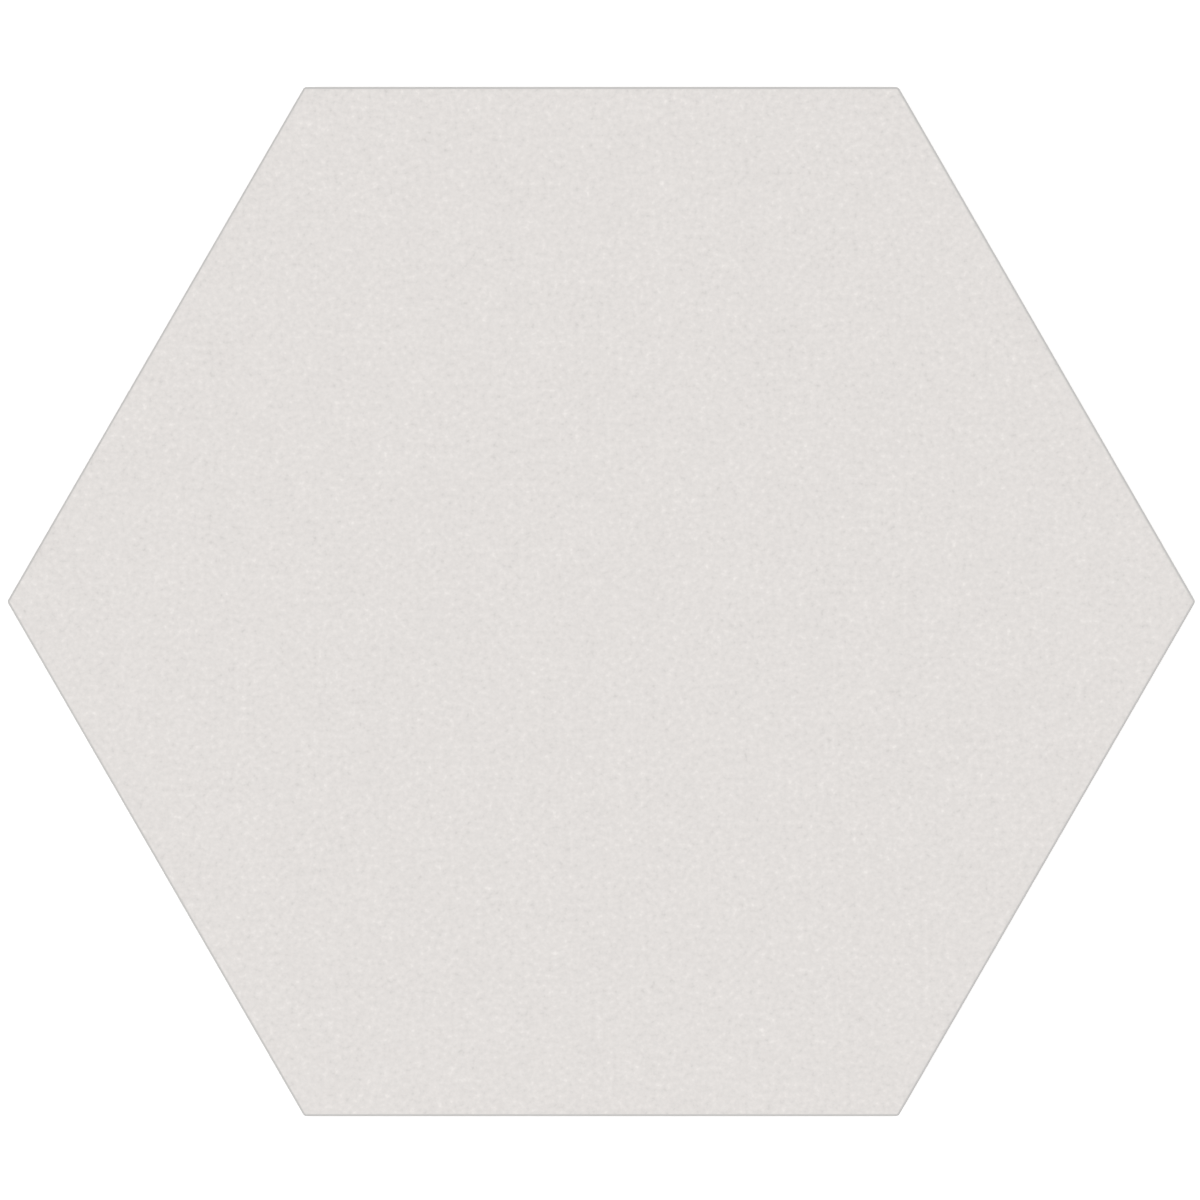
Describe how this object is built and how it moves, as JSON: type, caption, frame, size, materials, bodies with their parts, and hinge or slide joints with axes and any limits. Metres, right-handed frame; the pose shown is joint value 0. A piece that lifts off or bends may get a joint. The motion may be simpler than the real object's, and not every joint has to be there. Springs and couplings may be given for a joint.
{
  "type": "hexagon floor tile",
  "caption": "Flat hexagonal porcelain floor tile with a matt off-white face, softened edges and a keyed honeycomb back.",
  "frame": {"origin": "middle of the bed plane, the plane of the ribs on the back that the tile lies on", "axes": "+Z out of the matt face, +X towards a corner, +Y square to a side"},
  "size_m": [0.2652, 0.23, 0.01],
  "materials": {
    "porcelain": "matte"
  },
  "bodies": {
    "root": {"hexagon_tile": "porcelain"}
  },
  "joints": []
}
